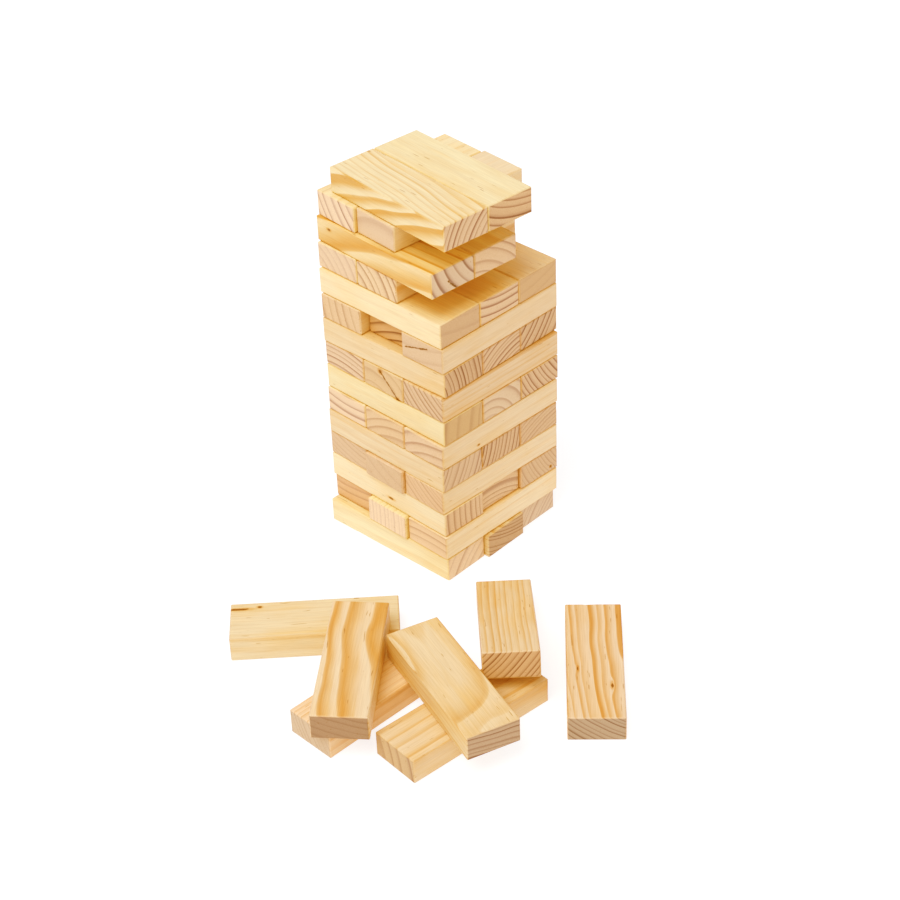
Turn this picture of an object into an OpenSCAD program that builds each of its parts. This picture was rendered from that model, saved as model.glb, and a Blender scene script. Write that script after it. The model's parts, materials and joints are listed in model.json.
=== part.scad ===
// Giant tumbling tower: a lawn game of plain pine blocks, caught in the middle of a round.
// Fifteen rows of blocks lie crosswise on one another and seven blocks lie beside the stack.
// +Z is up and the origin is on the ground under the middle of the stack.
// Odd rows run along X and even rows along Y. In an odd row lane a is on the -Y side and
// lane c on the +Y side; in an even row lane a is on the -X side and lane c on the +X side.

/* [Block] */
// Length of one block, which is also the side of the square stack
block_length = 150; // [120:1:200]
// Width of one block, a little under a third of its length
block_width = 49.5; // [39:0.5:66]
// Height of one block
block_height = 24.8; // [18:0.2:40]
// Width of the flat sanded along each edge
edge_break = 1; // [0.4:0.1:3]

/* [Stack] */
// Sideways gap between two neighbours in a row
lane_gap = 0.5; // [0.1:0.1:3]
// Air left between a block and what it lies on
row_play = 0.1; // [0.05:0.05:0.5]
// How untidy the stack is, from dead straight to the middle of a game
disorder = 1; // [0:0.1:1]

/* [Loose blocks] */
// How far the loose blocks lie from the middle of the stack, 1 being a natural spill
spread = 1; // [1:0.05:2]
// Level run of the leaning block, from its edge on the ground to the edge that holds it up
lean_run = 93; // [70:1:140]

/* [Colours] */
// Pale sapwood blocks
pine_pale = "#F2DCAB";
// Warm yellow blocks
pine_honey = "#E9CEA4";
// Pinkish blocks
pine_rosy = "#E3C6A4";
// Dark, resinous blocks
pine_amber = "#E2BE90";

/* [Hidden] */
// Distance from one lane to the next and from one row to the next
lane_pitch = block_width + lane_gap;
row_pitch = block_height + row_play;
// Plan sizes of the spill follow the block's length
plan = block_length / 150;
// The leaning block's slope follows from what it leans on
lean = atan((block_height + row_play) / (lean_run * plan));

// Where each row has drifted to, in mm and degrees, from the ground up
row_x = [-2, 0.5, -0.5, -0.5, 0, 0.5, 0, 0, -1.5, -1, -2, -3, -1.5, 0.5, 14.5];
row_y = [-5, -3, -1.5, -1.5, -2, -1.5, 0, 0, 0.5, 0.5, 1, 2.5, 1.5, 2.5, 6.5];
row_turn = [2.5, 0.5, 0, -0.5, 0, 0, 0.5, 0.5, 2, 1.5, 1, 0, -2.5, -3.5, -4];

// Side of a square bar, turned by 45 degrees, that trims the edges of an a by b section
function trim(a, b) = sqrt(2) * ((a + b) / 2 - edge_break);

// One block, long side along X, standing on z = 0 with its middle over the origin.
// Each turned bar sands off the four edges that run along the bar.
module block() {
  l = block_length;
  w = block_width;
  h = block_height;
  translate([0, 0, h / 2])
    intersection() {
      cube([l, w, h], center = true);
      rotate([45, 0, 0]) cube([l + 2, trim(w, h), trim(w, h)], center = true);
      rotate([0, 45, 0]) cube([trim(l, h), w + 2, trim(l, h)], center = true);
      rotate([0, 0, 45]) cube([trim(l, w), trim(l, w), h + 2], center = true);
    }
}

// A block in the stack: lane is -1, 0 or 1, out is how far it sticks out of the stack's
// front (+X from an odd row, -Y from an even row), aside is its sideways drift in its lane.
module stacked(row, lane, out = 0, aside = 0) {
  i = row - 1;
  heading = row % 2 == 1 ? 0 : -90;
  translate([disorder * row_x[i], disorder * row_y[i], i * row_pitch])
    rotate(disorder * row_turn[i] + heading)
      translate([disorder * out, lane * lane_pitch + disorder * aside, 0])
        block();
}

// A block that fell flat: its middle, its heading, and whether it lies on another one.
module fallen(at, heading, level = 0) {
  translate([spread * plan * at[0], spread * plan * at[1], level * row_pitch])
    rotate(heading)
      block();
}

// A block with one bottom edge on the ground, sloping up along its heading.
module leaning(edge_at, heading) {
  translate([spread * plan * edge_at[0], spread * plan * edge_at[1], 0])
    rotate(heading)
      rotate([0, -lean, 0])
        translate([block_length / 2 - edge_break, 0, row_play])
          block();
}

// Row 1
module row01_a() { color(pine_pale) stacked(1, -1, 0); }
module row01_b() { color(pine_honey) stacked(1, 0, 5); }
module row01_c() { color(pine_pale) stacked(1, 1, 0); }

// Row 2
module row02_a() { color(pine_amber) stacked(2, -1, -4, -1); }
module row02_b() { color(pine_pale) stacked(2, 0, 3); }
module row02_c() { color(pine_pale) stacked(2, 1, 0); }

// Row 3
module row03_a() { color(pine_pale) stacked(3, -1, 0); }
module row03_b() { color(pine_honey) stacked(3, 0, -3); }
module row03_c() { color(pine_rosy) stacked(3, 1, 0); }

// Row 4
module row04_a() { color(pine_honey) stacked(4, -1, 0); }
module row04_b() { color(pine_rosy) stacked(4, 0, 3); }
module row04_c() { color(pine_pale) stacked(4, 1, 0); }

// Row 5
module row05_a() { color(pine_honey) stacked(5, -1, 0); }
module row05_b() { color(pine_rosy) stacked(5, 0, 0); }
module row05_c() { color(pine_rosy) stacked(5, 1, 0); }

// Row 6
module row06_a() { color(pine_pale) stacked(6, -1, 0); }
module row06_b() { color(pine_honey) stacked(6, 0, 0); }
module row06_c() { color(pine_honey) stacked(6, 1, 0); }

// Row 7
module row07_a() { color(pine_pale) stacked(7, -1, 0); }
module row07_b() { color(pine_honey) stacked(7, 0, 0); }
module row07_c() { color(pine_honey) stacked(7, 1, 0); }

// Row 8
module row08_a() { color(pine_honey) stacked(8, -1, 0); }
module row08_b() { color(pine_honey) stacked(8, 0, 0); }
module row08_c() { color(pine_rosy) stacked(8, 1, 0); }

// Row 9
module row09_a() { color(pine_honey) stacked(9, -1, 0); }
module row09_b() { color(pine_rosy) stacked(9, 0, 0); }
module row09_c() { color(pine_rosy) stacked(9, 1, 0); }

// Row 10
module row10_a() { color(pine_honey) stacked(10, -1, 0); }
module row10_b() { color(pine_amber) stacked(10, 0, -10); }
module row10_c() { color(pine_rosy) stacked(10, 1, 0); }

// Row 11
module row11_a() { color(pine_pale) stacked(11, -1, 0); }
module row11_b() { color(pine_honey) stacked(11, 0, 0); }
module row11_c() { color(pine_honey) stacked(11, 1, 0); }

// Row 12
module row12_a() { color(pine_pale) stacked(12, -1, 0); }
module row12_b() { color(pine_honey) stacked(12, 0, 0); }

// Row 13
module row13_a() { color(pine_amber) stacked(13, -1, 0); }
module row13_b() { color(pine_honey) stacked(13, 0, 0); }

// Row 14
module row14_a() { color(pine_pale) stacked(14, -1, 0); }
module row14_b() { color(pine_honey) stacked(14, 0, -3); }

// Row 15
module row15_a() { color(pine_pale) stacked(15, -1, 0); }
module row15_b() { color(pine_pale) stacked(15, 0, 0); }

// Blocks on the ground beside the stack
module loose_a() { color(pine_pale) fallen([45.5, -213.5], 47.5); }
module loose_c() { color(pine_rosy) fallen([145.5, -235.5], 89.5); }
module loose_e() { color(pine_honey) fallen([223.5, -207.5], 85.5); }
module loose_g() { color(pine_rosy) fallen([266, -89], 133); }

// Blocks lying across others
module loose_b() { color(pine_honey) fallen([131, -248.5], 129.5, 1); }
module loose_d() { color(pine_honey) fallen([210.5, -207], 162, 1); }

// The block that leans on the end of loose_e
module loose_f() { color(pine_honey) leaning([137.5, -67.5], -43.5); }

row01_a();
row01_b();
row01_c();
row02_a();
row02_b();
row02_c();
row03_a();
row03_b();
row03_c();
row04_a();
row04_b();
row04_c();
row05_a();
row05_b();
row05_c();
row06_a();
row06_b();
row06_c();
row07_a();
row07_b();
row07_c();
row08_a();
row08_b();
row08_c();
row09_a();
row09_b();
row09_c();
row10_a();
row10_b();
row10_c();
row11_a();
row11_b();
row11_c();
row12_a();
row12_b();
row13_a();
row13_b();
row14_a();
row14_b();
row15_a();
row15_b();
loose_a();
loose_b();
loose_c();
loose_d();
loose_e();
loose_f();
loose_g();
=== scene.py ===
"""Looks of the giant tumbling tower: every block is a sanded pine block with its own grain.

Each block is a mesh with rounded, slightly worn edges in its own frame (x along the grain,
z up), and its material is solid pine: growth rings round a pith line that runs roughly
along x, so end grain, side grain and top grain of one block belong together.
"""

import json
import math

import bpy
import numpy as np
from mathutils import Matrix, Vector


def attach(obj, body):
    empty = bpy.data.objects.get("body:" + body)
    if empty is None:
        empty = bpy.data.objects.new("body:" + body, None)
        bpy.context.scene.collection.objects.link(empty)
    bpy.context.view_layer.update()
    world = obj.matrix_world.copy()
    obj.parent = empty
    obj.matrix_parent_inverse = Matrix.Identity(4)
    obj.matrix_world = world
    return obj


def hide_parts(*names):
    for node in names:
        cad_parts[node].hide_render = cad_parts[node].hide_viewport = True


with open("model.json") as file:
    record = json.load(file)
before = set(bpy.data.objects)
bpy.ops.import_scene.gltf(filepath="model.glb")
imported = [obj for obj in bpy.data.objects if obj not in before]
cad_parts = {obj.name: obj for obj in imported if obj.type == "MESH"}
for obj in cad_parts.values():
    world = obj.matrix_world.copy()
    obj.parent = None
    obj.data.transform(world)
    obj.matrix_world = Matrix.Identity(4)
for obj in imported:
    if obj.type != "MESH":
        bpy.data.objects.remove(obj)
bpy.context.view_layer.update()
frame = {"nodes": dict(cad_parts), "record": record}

MM = 0.001

# ---------------------------------------------------------------- camera and light
CAMERA_AZIMUTH = 46.08      # degrees; 0 looks along +Y
CAMERA_ELEVATION = 35.12
CAMERA_ROLL = -2.35
CAMERA_DISTANCE = 1.702     # metres from the point it looks at
CAMERA_TARGET = Vector((0.2044, -0.1919, 0.2691))
CAMERA_LENS = 86.94         # mm, on a 36 mm wide sensor
CAMERA_NEAR = 0.05          # metres, the nearest that it sees

FLOOR_SIZE = 40.0           # metres, so that its far edge stays out of low views
FLOOR_COLOUR = (0.40, 0.40, 0.40)
FLOOR_GLOW = 0.70           # the floor is a lit table, so shadows on it stay faint
FLOOR_ROUGHNESS = 0.9
FLOOR_SPECULAR = 0.1
SKY_STRENGTH = 0.70
SKY_COLOUR = (0.985, 0.995, 1.03)
KEY_DIRECTION = Vector((0.08, -0.46, 0.88))   # from the object towards the key light
KEY_STRENGTH = 1.60
KEY_COLOUR = (1.0, 0.995, 0.975)
KEY_SPREAD = 38             # degrees, how soft its shadows are
# contrast of the picture: (light, shown light) for red, green and blue; shade goes warm
CONTRAST = (((0.10, 0.185), (0.30, 0.42), (0.60, 0.70)),
            ((0.10, 0.085), (0.30, 0.29), (0.60, 0.63)),
            ((0.05, 0.008), (0.12, 0.035), (0.24, 0.17), (0.42, 0.44), (0.70, 0.73)))

# ---------------------------------------------------------------- block shape
EDGE_RADIUS = 1.0 * MM      # the usual rounding of a sanded edge
EDGE_BREAK = 1.0 * MM       # the least that every edge is cut back, as on the CAD solid
EDGE_SWELL = 0.16           # how much the rounding comes and goes, as a share of it
SWELL_WAVES = (70, 95, 120)   # how fast it does along x, y and z, in radians per metre
GRID_STEP = 4.0 * MM        # spacing of the mesh on the flat faces
EDGE_STEPS = (0.0, 0.25, 0.6, 1.05, 1.7, 2.6)   # mm from an edge, finer towards it
DENTS = 7                   # knocks along the edges of each block
DENT_REACH = (2.0, 5.0)     # mm, smallest and largest
DENT_DEPTH = (0.3, 1.3)     # mm, smallest and largest

# ---------------------------------------------------------------- grain of each block
# pith: where the heart of the trunk passes, in mm right of and above the middle of the
#       block's front end; gap: mm between two rings; lean: how far the pith drifts (right,
#       up) over the length, in mm per mm; wave: mm that the rings wander;
# rings: how strongly they show on the long faces; tops: the part of that on the broad
#       top and bottom; marks: how strongly they show on the end grain;
# ends: how light the end grain is; shade: how light the whole block is against its slot's
#       colour; each is one number, or one for red, green and blue;
# crack: a drying crack in the front end, from (right, up) to (right, up);
# knots: up to two of (along, right, up, radius, how much longer than wide), in mm; a knot
#       outside the block doesn't show, but still bends its rings.
GRAIN = {
    "row01_a": dict(pith=(70, -60), gap=9.0, rings=0.30, marks=0.4, shade=1.03, ends=1.10),
    "row01_b": dict(pith=(32, 95), gap=4.5, rings=0.70, marks=0.8, wave=9, ends=0.80),
    "row01_c": dict(pith=(80, -70), gap=5.5, rings=0.45, marks=0.4, ends=(0.96, 1.02, 1.09)),
    "row02_a": dict(pith=(-5, 150), gap=9.0, rings=0.70, marks=0.5, wave=8,
                    ends=(1.09, 0.95, 0.87)),
    "row02_b": dict(pith=(-150, -8), gap=4.6, rings=0.45, marks=0.3, ends=1.14),
    "row02_c": dict(pith=(5, -150), gap=7.0, rings=0.35, marks=0.7, shade=(1.04, 0.98, 1.03),
                    ends=(1.03, 0.99, 0.95)),
    "row03_a": dict(pith=(130, 5), gap=6.5, rings=0.15, marks=0.6, shade=1.04, ends=0.95,
                    knots=((4, -25.3, -3, 1.1, 3.6),)),
    "row03_b": dict(pith=(-10, -70), gap=6.0, rings=0.50, marks=0.5, ends=1.06),
    "row03_c": dict(pith=(85, 50), gap=4.0, rings=0.30, marks=0.4,
                    knots=((75, 15, -7, 1.2, 1.0),)),
    "row04_a": dict(pith=(30, 95), gap=5.0, rings=0.30, marks=0.25, ends=0.95),
    "row04_b": dict(pith=(70, 120), gap=13.0, rings=0.15, marks=0.15),
    "row04_c": dict(pith=(60, 80), gap=5.0, rings=0.30, marks=0.4, shade=(0.98, 0.93, 0.98),
                    ends=(0.99, 0.94, 0.92)),
    "row05_a": dict(pith=(-95, 40), gap=6.0, rings=0.25, marks=0.8, wave=7,
                    ends=(1.0, 1.04, 1.08)),
    "row05_b": dict(pith=(-100, 30), gap=5.0, rings=0.60, marks=1.0, ends=1.02),
    "row05_c": dict(pith=(40, -100), gap=4.0, rings=0.30, marks=0.45),
    "row06_a": dict(pith=(4, 130), gap=8.0, rings=0.40, marks=0.9, ends=1.10),
    "row06_b": dict(pith=(25, -77), gap=10.0, rings=0.30, marks=0.7, ends=(1.04, 1.01, 0.96)),
    "row06_c": dict(pith=(35, -120), gap=11.0, rings=0.25, marks=0.6, wave=6,
                    shade=(0.99, 1.03, 1.02), ends=1.04, knots=((30, 25.2, -7, 0.9, 1.6),)),
    "row07_a": dict(pith=(120, -20), gap=13.0, rings=0.20, marks=0.35, shade=0.97,
                    ends=(0.83, 0.83, 0.76), knots=((18, -24.6, 12.6, 1.0, 5.0),)),
    "row07_b": dict(pith=(-18, -28), gap=9.0, rings=0.50, marks=0.5, wave=2,
                    ends=(1.03, 1.09, 1.12)),
    "row07_c": dict(pith=(95, 60), gap=4.8, rings=0.50, marks=1.0, ends=0.96),
    "row08_a": dict(pith=(-12, -120), gap=5.6, rings=0.50, marks=0.8, ends=1.04),
    "row08_b": dict(pith=(-12, -34), gap=10.0, rings=0.20, marks=0.4, wave=8,
                    ends=(0.99, 0.97, 0.90),
                    knots=((76, -3, 9, 2.0, 1.0), (75, 18, -12, 1.8, 1.0)),
                    crack=((-3, 9), (18, -12))),
    "row08_c": dict(pith=(70, 70), gap=5.0, rings=0.55, marks=0.8, shade=(1.0, 1.0, 0.93),
                    ends=1.02),
    "row09_a": dict(pith=(-110, -30), gap=4.6, rings=0.15, marks=1.1, wave=6,
                    shade=(0.98, 0.98, 0.92), ends=0.88),
    "row09_b": dict(pith=(35, -80), gap=5.0, rings=0.55, marks=0.9, ends=1.04),
    "row09_c": dict(pith=(-80, 66), gap=7.0, rings=0.60, marks=1.2, ends=0.96),
    "row10_a": dict(pith=(110, 30), gap=9.0, rings=0.30, marks=0.5, ends=(1.05, 1.01, 0.95)),
    "row10_b": dict(pith=(60, -190), gap=9.0, rings=0.80, marks=1.3, ends=(1.09, 0.97, 0.85)),
    "row10_c": dict(pith=(-20, 120), gap=13.0, rings=0.15, marks=0.25,
                    shade=(1.0, 1.02, 0.93), crack=((-20, -1), (6, 6.5))),
    "row11_a": dict(pith=(30, 190), gap=15.0, rings=0.20, marks=0.15, shade=(1.05, 1.0, 1.0),
                    ends=0.77),
    # its tone is redder and less blue than its slot: painted warm shade, since its visible top
    # lies in shade
    "row11_b": dict(pith=(15, 150), gap=6.5, rings=0.45, marks=0.9, shade=(1.05, 1.0, 0.90),
                    ends=1.01),
    "row11_c": dict(pith=(-40, 160), gap=9.0, rings=0.15, marks=0.15, ends=(0.86, 0.84, 0.80)),
    "row12_a": dict(pith=(-45, -35), gap=8.0, rings=0.30, marks=0.3, ends=1.02),
    "row12_b": dict(pith=(-60, -40), gap=8.0, rings=0.60, marks=0.8, ends=(1.13, 1.12, 1.05)),
    "row13_a": dict(pith=(52, 30), gap=9.0, rings=0.9, tops=1.6, marks=0.9, lean=(0.10, 0.04),
                    wave=8, shade=(1.14, 1.22, 1.20), ends=(0.93, 1.0, 1.06),
                    knots=((-58, -25.2, 4, 1.0, 2.0),), crack=((-5.6, -1.5), (2.5, -10.5))),
    "row13_b": dict(pith=(-28, -50), gap=9.0, rings=0.50, marks=0.7, ends=1.08),
    "row14_a": dict(pith=(85, 55), gap=9.0, rings=0.45, marks=0.8, ends=1.12),
    "row14_b": dict(pith=(6, -60), gap=22.0, rings=0.20, marks=0.5, ends=1.05),
    "row15_a": dict(pith=(75, -42), gap=5.4, rings=1.5, tops=0.5, marks=0.9,
                    lean=(-0.12, 0.02), wave=6, shade=0.975, ends=0.95),
    "row15_b": dict(pith=(30, 120), gap=7.5, rings=0.35, tops=0.6, marks=1.1,
                    lean=(0.0, -0.02), ends=(0.88, 0.85, 0.82)),
    "loose_a": dict(pith=(110, 40), gap=6.0, rings=0.25, marks=0.6, shade=(0.89, 0.87, 0.92),
                    knots=((68, -16, 12.4, 1.4, 7.0), (49, -18, 12.4, 1.3, 1.6))),
    # ends: the darker, greyer front end is partly the end grain's own colour, partly painted
    # shade, as this end gets little light
    "loose_b": dict(pith=(30, 95), gap=6.8, rings=0.85, marks=0.3, wave=10,
                    ends=(0.50, 0.53, 0.58)),
    "loose_c": dict(pith=(85, 45), gap=5.5, rings=0.60, marks=0.3, shade=(1.11, 1.08, 1.04),
                    ends=(0.81, 0.87, 0.90)),
    # ends: the darker, greyer front end is partly the end grain's own colour, partly painted
    # shade, as this end gets little light
    "loose_d": dict(pith=(-12, -110), gap=5.5, rings=0.85, tops=0.6, marks=0.9,
                    lean=(-0.02, -0.05), wave=8, shade=(0.98, 0.99, 0.94),
                    ends=(0.69, 0.76, 0.83),
                    knots=((-54, -38, 20, 9, 2.2), (78, -4, 40, 12, 1.0))),
    "loose_e": dict(pith=(-115, -30), gap=14.0, rings=0.65, tops=1.3, marks=0.6,
                    shade=(0.98, 0.95, 0.94), ends=(0.86, 0.86, 0.80)),
    "loose_f": dict(pith=(-110, 98), gap=4.4, rings=0.9, marks=1.1, shade=(0.96, 0.97, 0.98),
                    ends=(0.87, 0.80, 0.74)),
    # ends: the darker, greyer front end is partly the end grain's own colour, partly painted
    # shade, as this end gets little light
    "loose_g": dict(pith=(55, 85), gap=4.6, rings=1.0, marks=0.8, lean=(0.07, 0.0), wave=9,
                    shade=(1.03, 1.03, 0.96), ends=(0.62, 0.72, 0.80),
                    knots=((34, 14, 13, 1.2, 3.0), (12, -15, 13, 0.9, 3.0))),
}


# ---------------------------------------------------------------- placing a block
def block_frame(node):
    """(matrix, half sizes) of a block: x along its length towards the front, z up."""
    points = np.array([v.co for v in frame["nodes"][node].data.vertices])
    points = np.unique(points.round(6), axis=0)
    middle = (points.min(0) + points.max(0)) / 2
    spread = points - middle
    _, axes = np.linalg.eigh(spread.T @ spread)      # shortest, middle, longest direction
    along = Vector(axes[:, 2])
    up = Vector(axes[:, 0])
    if along.x - along.y < 0:
        along = -along
    if up.z < 0:
        up = -up
    across = up.cross(along)
    half = [float(np.abs(spread @ np.array(d)).max()) for d in (along, across, up)]
    matrix = Matrix((along, across, up)).transposed().to_4x4()
    matrix.translation = Vector(middle)
    return matrix, np.array(half)


def grid_line(half):
    """Mesh positions along one axis of a block, close together near both ends."""
    margin = EDGE_STEPS[-1] * MM
    count = max(2, round(2 * (half - margin) / GRID_STEP))
    inner = np.linspace(-half + margin, half - margin, count + 1)
    near = np.array(EDGE_STEPS[:-1]) * MM
    return np.concatenate([-half + near, inner, (half - near)[::-1]])


def box_grid(half):
    """Vertices and quads of a box with a grid on every face, welded at the edges."""
    lines = [grid_line(h) for h in half]
    index, verts, faces = {}, [], []

    def vert(ijk):
        if ijk not in index:
            index[ijk] = len(verts)
            verts.append([lines[a][ijk[a]] for a in range(3)])
        return index[ijk]

    for axis in range(3):
        u, v = (axis + 1) % 3, (axis + 2) % 3
        for side in (0, len(lines[axis]) - 1):
            for i in range(len(lines[u]) - 1):
                for j in range(len(lines[v]) - 1):
                    ring = []
                    for di, dj in ((0, 0), (1, 0), (1, 1), (0, 1)):
                        ijk = [0, 0, 0]
                        ijk[axis], ijk[u], ijk[v] = side, i + di, j + dj
                        ring.append(vert(tuple(ijk)))
                    faces.append(ring if side else ring[::-1])
    return np.array(verts), faces


def worn(verts, half, rng):
    """Rounds the edges by an uneven amount and knocks a few small dents into them."""
    phase = rng.uniform(0, 6, 3)                     # radians, nearly a full turn
    swell = sum(np.sin(verts[:, a] * SWELL_WAVES[a] + phase[a]) for a in range(3))
    radius = EDGE_RADIUS * (1 + EDGE_SWELL * swell)
    for _ in range(DENTS):
        at = rng.uniform(-1, 1, 3) * half
        edge_axes = rng.choice(3, 2, replace=False)
        at[edge_axes] = np.sign(at[edge_axes]) * half[edge_axes]
        reach = rng.uniform(*DENT_REACH) * MM
        distance = np.linalg.norm(verts - at, axis=1)
        radius = radius + rng.uniform(*DENT_DEPTH) * MM * np.exp(-(distance / reach) ** 2)
    core = np.clip(verts, -half + radius[:, None], half - radius[:, None])
    outward = verts - core                           # at least the radius long
    verts = core + outward * (radius / np.linalg.norm(outward, axis=1))[:, None]
    for pair in ([0, 1], [1, 2], [2, 0]):            # what stands proud of the CAD's edge cut
        proud = (np.abs(verts[:, pair]) - half[pair]).sum(1) + EDGE_BREAK
        pull = np.maximum(proud, 0) / 2
        verts[:, pair] -= np.sign(verts[:, pair]) * pull[:, None]
    return verts


def block_mesh(name, half, rng):
    verts, faces = box_grid(half)
    mesh = bpy.data.meshes.new(name)
    mesh.from_pydata(worn(verts, half, rng).tolist(), [], faces)
    mesh.polygons.foreach_set("use_smooth", [True] * len(faces))
    mesh.update()
    return mesh


# ---------------------------------------------------------------- node helpers
class Graph:
    """Short calls for building a node tree; a value is a number, a tuple or a socket."""

    def __init__(self, tree):
        self.tree = tree

    def node(self, kind, **settings):
        n = self.tree.nodes.new(kind)
        for key, value in settings.items():
            setattr(n, key, value)
        return n

    def feed(self, socket, value):
        if isinstance(value, bpy.types.NodeSocket):
            self.tree.links.new(value, socket)
        else:
            socket.default_value = value

    def filled(self, kind, *values, **settings):
        """A node with its first sockets fed with the values, in their order."""
        n = self.node(kind, **settings)
        for socket, value in zip(n.inputs, values):
            self.feed(socket, value)
        return n

    def math(self, operation, *values, clamp=False):
        n = self.filled("ShaderNodeMath", *values, operation=operation, use_clamp=clamp)
        return n.outputs[0]

    def add(self, a, b):
        return self.math("ADD", a, b)

    def sub(self, a, b):
        return self.math("SUBTRACT", a, b)

    def mul(self, a, b):
        return self.math("MULTIPLY", a, b)

    def vector(self, x, y, z):
        return self.filled("ShaderNodeCombineXYZ", x, y, z).outputs[0]

    def parts(self, vector):
        return tuple(self.filled("ShaderNodeSeparateXYZ", vector).outputs)

    def vector_math(self, operation, *values, result="Vector"):
        n = self.filled("ShaderNodeVectorMath", *values, operation=operation)
        return n.outputs[result]

    def weigh(self, weights, values, start=0.0):
        """The start plus each value times the weight of the same name."""
        total = start
        for name, weight in weights.items():
            total = self.math("MULTIPLY_ADD", values[name], weight, total)
        return total

    def noise(self, vector, detail=2.0, rough=0.5):
        n = self.node("ShaderNodeTexNoise")
        self.feed(n.inputs["Vector"], vector)
        self.feed(n.inputs["Scale"], 1.0)
        self.feed(n.inputs["Detail"], detail)
        self.feed(n.inputs["Roughness"], rough)
        return n.outputs["Fac"], n.outputs["Color"]

    def steps(self, value, low, high, to_low=0.0, to_high=1.0):
        n = self.filled("ShaderNodeMapRange", value, low, high, to_low, to_high,
                        interpolation_type="SMOOTHSTEP")
        return n.outputs[0]

    def mix(self, factor, a, b, blend="MIX"):
        n = self.node("ShaderNodeMix", data_type="RGBA", blend_type=blend)
        self.feed(n.inputs[0], factor)
        self.feed(n.inputs[6], a)
        self.feed(n.inputs[7], b)
        return n.outputs[2]

    def ramp(self, value, stops):
        n = self.node("ShaderNodeValToRGB")
        ramp = n.color_ramp
        while len(ramp.elements) < len(stops):
            ramp.elements.new(0.5)
        for element, (at, grey) in zip(ramp.elements, stops):
            element.position = at
            element.color = (grey, grey, grey, 1)
        self.feed(n.inputs[0], value)
        return n.outputs[0]


# ---------------------------------------------------------------- pine
LATE_WOOD = (0.78, 0.56, 0.38, 1)        # how the dark part of a ring tints the long faces
END_LATE_WOOD = (0.34, 0.31, 0.42, 1)    # and the end grain
END_WOOD = (0.88, 0.625, 0.385)          # end grain has one hue, as light as the block's red
LIGHTEST = 0.95                          # no block's colour is lighter than this
RESIN = (0.20, 0.085, 0.03, 1)
HEART = (1.0, 0.84, 0.66, 1)             # warm stain where the wood is older
PAINTED_EDGE_SHADE = (0.80, 0.62, 0.44, 1)           # painted shade along every edge, standing in for the dark seams between blocks
KNOTS = ("Knot 1", "Knot 2")
KNOT_NONE = (0.0, 900.0, 0.0, 2.0, 1.0)  # a knot far outside the block
KNOT_DARK = (0.16, 0.07, 0.03, 1)
KNOT_LIGHT = (0.36, 0.19, 0.08, 1)
KNOT_HALO = (0.80, 0.56, 0.34, 1)
CRACK = (0.11, 0.06, 0.035, 1)
CRACK_NONE = ((0, 900), (1, 900))        # a crack far outside the block
WOOD_SPECULAR = 0.35

# one ring from the inside out: (share of its width, how dark), cut flat and cut square
BROAD_RING = ((0.0, 0.0), (0.20, 0.12), (0.50, 0.58), (0.78, 1.0), (0.92, 0.75), (1.0, 0.0))
NARROW_RING = ((0.0, 0.0), (0.50, 0.08), (0.70, 0.40), (0.82, 1.0), (0.92, 1.0), (1.0, 0.0))
RING_DRIFT = 0.45            # how fast the width of the rings changes, per ring
RING_UNEVEN = 1.7            # by how many rings they are pushed about
RING_FAINTEST = 0.5          # strength of the faintest ring
RING_SPREAD = 0.6            # and how much stronger the strongest one is

# noise through a block: scale is how fast it changes along x, y and z, per mm; seeds is
# how much of the block's own seed shifts it
WANDER = dict(scale=(0.011, 0.016, 0.016), detail=1.5)          # the pith's line
FIBRE = dict(scale=(0.035, 1.5, 1.5), detail=4.0, rough=0.6)
CLOUD = dict(scale=(0.014, 0.04, 0.04), seeds=2)                # older wood, in patches
BAND = dict(scale=(0.010, 0.22, 0.22), seeds=3, detail=1.0)     # older wood, in stripes
FLECK = dict(scale=(0.09, 0.85, 0.85), detail=0.0)              # short marks of resin
KNOT_WOBBLE = dict(scale=(0.3, 0.3, 0.3), seeds=0)
RAGGED = dict(scale=(0.0, 0.4, 0.4), seeds=0, detail=3.0)       # the sides of a crack
# how the painted edge shade wanders
EDGE_SHADE_NOISE = dict(scale=(0.12, 0.12, 0.12), seeds=0, detail=3.0)
SAW_SCALE = (0.06, 1.3)      # marks of the saw on the ends, across and up, per mm

# where a smooth step starts and where it is complete
END_FACING = (0.62, 0.92)    # part of the normal that points along the block: end grain
FLAT_CUT = (0.45, 0.90)      # part of the normal that points away from the pith: cut flat
FIBRE_STEP = (0.30, 0.72)
CLOUD_STEP = (0.42, 0.72)
BAND_STEP = (0.5, 0.8)
FLECK_STEP = (0.80, 0.84)
KNOT_EDGE = (1.05, 0.85)     # knot radii
HALO_EDGE = (2.3, 1.0)       # knot radii
CRACK_EDGE = (0.9, 0.2)      # mm from the crack's line
EDGE_SHADE_REACH = (-2.0, -0.1)      # mm past the second nearest face, for the painted edge shade

FIBRE_TINT = (0.90, 1.06)    # darkest and lightest fibre
SQUARE_STRENGTH = 0.7        # strength of rings that are cut square
FLAT_STRENGTH = 0.45         # and what is added to it where they are cut flat
CLOUD_SHARE = 0.45           # how far each goes towards its full tint
BAND_SHARE = 0.3
FLECK_SHARE = 0.45
HALO_SHARE = 0.6
CRACK_SHARE = 0.85
# the painted edge shade
EDGE_SHADE_SHARE = 0.22
EDGE_SHADE_WOBBLE = 2.0             # mm that the painted edge shade wanders
KNOT_RINGS = 2.7             # fine rings in a knot, per knot radius
KNOT_PUSH = 1.6              # knot radii that the rings are pushed aside at a knot
KNOT_FADE = 0.16             # how soon that dies away
CRACK_TAPER = 0.15           # mm that a crack narrows, per mm of depth
CRACK_WOBBLE = 3.0           # mm

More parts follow.
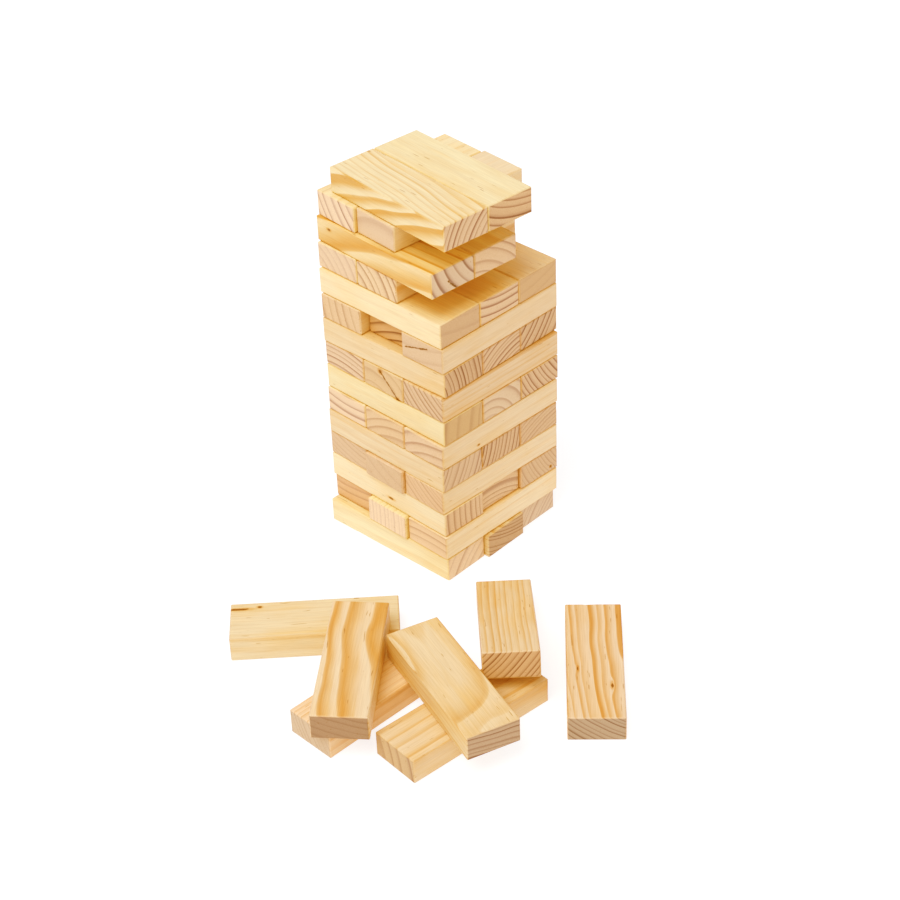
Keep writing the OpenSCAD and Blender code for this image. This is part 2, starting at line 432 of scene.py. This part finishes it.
ROUGHNESS = 0.41             # of plain wood, and what the features add to it
ROUGHER = dict(end=0.16, late=-0.08, fibre=0.18, edge_shade_band=-0.06)
SIDE_RELIEF = dict(late=0.05, fibre=0.09)            # mm above a long face
END_RELIEF = dict(late=0.09, saw=0.12, fibre=0.10)   # mm above an end
SUNK = dict(fleck=-0.10, knot=-0.12, crack=-0.4)     # mm above either

PINE_INPUTS = {
    "Color": ("Tone", "Ends"),
    "Vector": ("Pith", "Lean", "Half Size", "Crack Start", "Crack End", *KNOTS),
    "Float": ("Gap", "Rings", "Tops", "Marks", "Wave", "Seed",
              *(name + " Radius" for name in KNOTS), *(name + " Stretch" for name in KNOTS)),
}
PINE_OUTPUTS = {"Color": ("Color",), "Float": ("Roughness", "Height")}


class Pine(Graph):
    """The node group of the wood itself; all its lengths are in mm."""

    def __init__(self):
        super().__init__(bpy.data.node_groups.new("pine", "ShaderNodeTree"))
        for way, sockets in (("INPUT", PINE_INPUTS), ("OUTPUT", PINE_OUTPUTS)):
            for kind, names in sockets.items():
                for name in names:
                    self.tree.interface.new_socket(name=name, in_out=way,
                                                   socket_type="NodeSocket" + kind)
        self.given = self.node("NodeGroupInput").outputs
        place = self.node("ShaderNodeTexCoord").outputs
        self.point = self.parts(self.vector_math("MULTIPLY", place["Object"], (1 / MM,) * 3))
        self.normal = self.parts(place["Normal"])
        self.half = self.parts(self.given["Half Size"])

    def grown(self, scale, seeds=1, detail=2.0, rough=0.5):
        """Noise through the block."""
        x, y, z = (self.mul(p, s) for p, s in zip(self.point, scale))
        x = self.add(x, self.mul(self.given["Seed"], seeds))
        return self.noise(self.vector(x, y, z), detail, rough)

    def from_pith(self):
        """How far right of and above the pith a point is; the pith leans and wanders."""
        pith = self.parts(self.given["Pith"])
        lean = self.parts(self.given["Lean"])
        wander = self.parts(self.grown(**WANDER)[1])
        offsets = []
        for axis, drift in ((1, wander[0]), (2, wander[1])):
            offset = self.sub(self.point[axis], pith[axis])
            offset = self.sub(offset, self.mul(self.point[0], lean[axis]))
            drift = self.mul(self.sub(drift, 0.5), self.given["Wave"])
            offsets.append(self.add(offset, drift))
        return offsets

    def from_knot(self, name, wobble):
        """How far a point is from the middle of a knot, in knot radii."""
        x, y, z = (self.sub(p, k) for p, k in zip(self.point, self.parts(self.given[name])))
        x = self.math("DIVIDE", x, self.given[name + " Stretch"])
        off = self.vector_math("LENGTH", self.vector(x, y, z), result="Value")
        off = self.add(off, self.sub(wobble, 0.5))
        return self.math("DIVIDE", off, self.given[name + " Radius"])

    def late_wood(self, radius):
        """How dark a point's ring is there, cut square and cut flat."""
        seed = self.given["Seed"]
        ring = self.math("DIVIDE", radius, self.given["Gap"])
        uneven = self.noise(self.vector(self.mul(ring, RING_DRIFT), seed, 0.0), detail=1.0)[0]
        ring = self.add(ring, self.mul(uneven, RING_UNEVEN))
        own = self.node("ShaderNodeTexWhiteNoise", noise_dimensions="2D")
        self.feed(own.inputs["Vector"], self.vector(self.math("FLOOR", ring), seed, 0.0))
        own = self.add(self.mul(own.outputs["Value"], RING_SPREAD), RING_FAINTEST)
        phase = self.math("FRACT", ring)
        return [self.mul(self.ramp(phase, stops), own) for stops in (NARROW_RING, BROAD_RING)]

    def long_face(self, flat, narrow, broad):
        """Colour of the long faces: rings cut flat are broad bands, cut square thin lines."""
        late = self.mix(flat, narrow, broad)
        strength = self.add(self.mul(flat, FLAT_STRENGTH), SQUARE_STRENGTH)
        strength = self.mul(self.given["Rings"], strength)
        facing_up = self.math("ABSOLUTE", self.normal[2])
        tops = self.add(self.mul(facing_up, self.sub(self.given["Tops"], 1.0)), 1.0)
        late = self.math("MULTIPLY", late, self.mul(strength, tops), clamp=True)
        colour = self.mix(late, self.given["Tone"], LATE_WOOD, "MULTIPLY")
        cloud = self.mul(self.steps(self.grown(**CLOUD)[0], *CLOUD_STEP), CLOUD_SHARE)
        band = self.mul(self.steps(self.grown(**BAND)[0], *BAND_STEP), BAND_SHARE)
        return self.mix(self.add(cloud, band), colour, HEART, "MULTIPLY")

    def end_face(self, narrow):
        """Colour of the end grain."""
        late = self.math("MULTIPLY", narrow, self.given["Marks"], clamp=True)
        return self.mix(late, self.given["Ends"], END_LATE_WOOD, "MULTIPLY")

    def crack(self):
        """1 near the line between two points of the front end, and not deep."""
        x, y, z = self.point
        start = self.given["Crack Start"]
        line = self.vector_math("SUBTRACT", self.given["Crack End"], start)
        off = self.vector_math("SUBTRACT", self.vector(0.0, y, z), start)
        share = self.math("DIVIDE",
                          self.vector_math("DOT_PRODUCT", off, line, result="Value"),
                          self.vector_math("DOT_PRODUCT", line, line, result="Value"),
                          clamp=True)
        nearest = self.vector_math("MULTIPLY", line, self.vector(share, share, share))
        off_line = self.vector_math("DISTANCE", off, nearest, result="Value")
        taper = self.math("MAXIMUM", self.mul(self.sub(self.half[0], x), CRACK_TAPER), 0.0)
        ragged = self.mul(self.sub(self.grown(**RAGGED)[0], 0.5), CRACK_WOBBLE)
        return self.steps(self.add(off_line, self.add(taper, ragged)), *CRACK_EDGE)

    def edge_shade_band(self):
        """1 along the edges, where the two nearest faces are both close; in colour it is painted
        shade of the seams between blocks, and it also makes the edges a little smoother.
        """
        a, b, c = (self.sub(self.math("ABSOLUTE", p), h)
                   for p, h in zip(self.point, self.half))
        second = self.math("MAXIMUM", self.math("MINIMUM", a, b),
                           self.math("MINIMUM", self.math("MAXIMUM", a, b), c))
        wobble = self.mul(self.sub(self.grown(**EDGE_SHADE_NOISE)[0], 0.5), EDGE_SHADE_WOBBLE)
        return self.steps(self.add(second, wobble), *EDGE_SHADE_REACH)

    def saw_marks(self):
        y, z = (self.mul(p, s) for p, s in zip(self.point[1:], SAW_SCALE))
        return self.noise(self.vector(0.0, y, self.add(z, self.given["Seed"])), detail=3.0)[0]


def pine_group():
    """The wood itself, as a node group shared by all the blocks."""
    g = Pine()
    dy, dz = g.from_pith()
    radius = g.math("SQRT", g.add(g.mul(dy, dy), g.mul(dz, dz)))

    # a knot pushes the rings aside
    wobble = g.grown(**KNOT_WOBBLE)[0]
    knots = [g.from_knot(name, wobble) for name in KNOTS]
    for name, off in zip(KNOTS, knots):
        push = g.math("EXPONENT", g.mul(g.mul(off, off), -KNOT_FADE))
        radius = g.add(radius, g.mul(push, g.mul(g.given[name + " Radius"], KNOT_PUSH)))

    # plain wood: end grain wherever the surface faces along the block
    narrow, broad = g.late_wood(radius)
    nx, ny, nz = g.normal
    end = g.steps(g.math("ABSOLUTE", nx), *END_FACING)
    flat = g.math("DIVIDE", g.add(g.mul(ny, dy), g.mul(nz, dz)), radius)
    flat = g.steps(g.math("ABSOLUTE", flat), *FLAT_CUT)
    colour = g.mix(end, g.long_face(flat, narrow, broad), g.end_face(narrow))

    # fibres along the grain, and flecks of resin
    fibre = g.grown(**FIBRE)[0]
    streak = g.steps(fibre, *FIBRE_STEP, *FIBRE_TINT)
    colour = g.mix(1.0, colour, g.vector(streak, streak, streak), "MULTIPLY")
    fleck = g.steps(g.grown(**FLECK)[0], *FLECK_STEP)
    colour = g.mix(g.mul(fleck, FLECK_SHARE), colour, RESIN)

    # the knots: brown, with fine rings of their own and a stain around
    knot_lines = 0.0
    for off in knots:
        core = g.steps(off, *KNOT_EDGE)
        lines = g.math("FRACT", g.mul(off, KNOT_RINGS))
        halo = g.mul(g.steps(off, *HALO_EDGE), HALO_SHARE)
        colour = g.mix(halo, colour, KNOT_HALO, "MULTIPLY")
        colour = g.mix(core, colour, g.mix(lines, KNOT_DARK, KNOT_LIGHT))
        knot_lines = g.add(knot_lines, g.mul(core, lines))

    crack = g.crack()
    colour = g.mix(g.mul(crack, CRACK_SHARE), colour, CRACK)
    # painted shade: every edge a little darker, standing in for the shade in the seams between
    # blocks
    edge_shade_band = g.edge_shade_band()
    colour = g.mix(g.mul(edge_shade_band, EDGE_SHADE_SHARE), colour, PAINTED_EDGE_SHADE, "MULTIPLY")

    features = dict(end=end, late=narrow, fibre=fibre, edge_shade_band=edge_shade_band, saw=g.saw_marks(),
                    fleck=fleck, knot=knot_lines, crack=crack)
    side_height = g.mul(g.weigh(SIDE_RELIEF, features), g.sub(1.0, end))
    height = g.add(side_height, g.mul(g.weigh(END_RELIEF, features), end))
    result = g.node("NodeGroupOutput").inputs
    g.feed(result["Color"], colour)
    g.feed(result["Roughness"], g.weigh(ROUGHER, features, ROUGHNESS))
    g.feed(result["Height"], g.weigh(SUNK, features, height))
    return g.tree


def pine_material(name, tree, tone, half, seed, pith, gap, rings, marks, tops=1.0,
                  lean=(0, 0), wave=4, ends=1.0, shade=1.0, knots=(), crack=CRACK_NONE):
    """One block's own pine."""
    material = bpy.data.materials.new("pine_" + name)
    material.use_nodes = True
    g = Graph(material.node_tree)
    material.node_tree.nodes.clear()
    wood = g.node("ShaderNodeGroup", node_tree=tree)
    colour = np.minimum(LIGHTEST, np.array(tone) * shade)
    end_colour = colour[0] * np.array(END_WOOD) * ends
    values = {"Tone": (*colour, 1), "Ends": (*end_colour, 1), "Pith": (0, *pith),
              "Lean": (0, *lean), "Gap": gap, "Rings": rings, "Tops": tops, "Marks": marks,
              "Wave": wave, "Seed": seed, "Crack Start": (0, *crack[0]),
              "Crack End": (0, *crack[1]), "Half Size": tuple(h / MM for h in half)}
    for socket, knot in zip(KNOTS, (*knots, KNOT_NONE, KNOT_NONE)):
        values[socket] = knot[:3]
        values[socket + " Radius"] = knot[3]
        values[socket + " Stretch"] = knot[4]
    for socket, value in values.items():
        wood.inputs[socket].default_value = value
    bump = g.node("ShaderNodeBump")
    bump.inputs["Strength"].default_value = 1.0
    bump.inputs["Distance"].default_value = MM
    g.feed(bump.inputs["Height"], wood.outputs["Height"])
    surface = g.node("ShaderNodeBsdfPrincipled")
    surface.inputs["Specular IOR Level"].default_value = WOOD_SPECULAR
    g.feed(surface.inputs["Base Color"], wood.outputs["Color"])
    g.feed(surface.inputs["Roughness"], wood.outputs["Roughness"])
    g.feed(surface.inputs["Normal"], bump.outputs[0])
    output = g.node("ShaderNodeOutputMaterial")
    g.feed(output.inputs["Surface"], surface.outputs[0])
    return material


# ---------------------------------------------------------------- the blocks
FIRST_SEED = 100            # of the random draws; each block has the next one
TONE_SPREAD = 0.02          # how far a block's colour may be from its slot's
SEED_STEP = 3.7             # between the noise of one block and the next


def make_blocks():
    slots = {s["node"]: s["material_slot"] for s in frame["record"]["subparts"]}
    tones = {m["slot"]: m["base_color"][:3] for m in frame["record"]["materials"]}
    tree = pine_group()
    for number, (node, grain) in enumerate(sorted(GRAIN.items())):
        matrix, half = block_frame(node)
        rng = np.random.default_rng(FIRST_SEED + number)
        name = "block_" + node
        block = bpy.data.objects.new(name, block_mesh(name, half, rng))
        bpy.context.scene.collection.objects.link(block)
        block.matrix_world = matrix
        own = rng.uniform(-TONE_SPREAD, TONE_SPREAD, 3)
        tone = [c * (1 + d) for c, d in zip(tones[slots[node]], own)]
        seed = SEED_STEP * number
        block.data.materials.append(pine_material(node, tree, tone, half, seed, **grain))
        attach(block, node)
        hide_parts(node)


# ---------------------------------------------------------------- floor, light, camera
def make_floor():
    mesh = bpy.data.meshes.new("floor")
    s = FLOOR_SIZE / 2
    mesh.from_pydata([(-s, -s, 0), (s, -s, 0), (s, s, 0), (-s, s, 0)], [], [(0, 1, 2, 3)])
    floor = bpy.data.objects.new("floor", mesh)
    bpy.context.scene.collection.objects.link(floor)
    material = bpy.data.materials.new("floor")
    material.use_nodes = True
    surface = material.node_tree.nodes["Principled BSDF"]
    surface.inputs["Base Color"].default_value = (*FLOOR_COLOUR, 1)
    surface.inputs["Roughness"].default_value = FLOOR_ROUGHNESS
    surface.inputs["Specular IOR Level"].default_value = FLOOR_SPECULAR
    surface.inputs["Emission Color"].default_value = (1, 1, 1, 1)
    surface.inputs["Emission Strength"].default_value = FLOOR_GLOW
    mesh.materials.append(material)


def make_light():
    world = bpy.data.worlds.new("studio")
    bpy.context.scene.world = world
    world.use_nodes = True
    sky = world.node_tree.nodes["Background"]
    sky.inputs["Color"].default_value = (*SKY_COLOUR, 1)
    sky.inputs["Strength"].default_value = SKY_STRENGTH
    key = bpy.data.lights.new("key", "SUN")
    key.energy = KEY_STRENGTH
    key.color = KEY_COLOUR
    key.angle = math.radians(KEY_SPREAD)
    lamp = bpy.data.objects.new("key", key)
    lamp.rotation_euler = KEY_DIRECTION.to_track_quat("Z", "Y").to_euler()
    bpy.context.scene.collection.objects.link(lamp)


def make_camera():
    azimuth, elevation = math.radians(CAMERA_AZIMUTH), math.radians(CAMERA_ELEVATION)
    back = Vector((math.sin(azimuth) * math.cos(elevation),
                   -math.cos(azimuth) * math.cos(elevation), math.sin(elevation)))
    camera = bpy.data.cameras.new("camera")
    camera.lens = CAMERA_LENS
    camera.clip_start = CAMERA_NEAR
    eye = bpy.data.objects.new("camera", camera)
    turn = back.to_track_quat("Z", "Y").to_matrix()
    turn = turn @ Matrix.Rotation(math.radians(CAMERA_ROLL), 3, "Z")
    eye.matrix_world = Matrix.Translation(CAMERA_TARGET + back * CAMERA_DISTANCE) @ turn.to_4x4()
    bpy.context.scene.collection.objects.link(eye)
    bpy.context.scene.camera = eye


def set_contrast():
    view = bpy.context.scene.view_settings
    view.view_transform = "Standard"
    view.use_curve_mapping = True
    for curve, points in zip(view.curve_mapping.curves, CONTRAST):
        for light, shown in points:
            curve.points.new(light, shown)
    view.curve_mapping.update()


set_contrast()
make_camera()
make_light()
make_floor()
make_blocks()
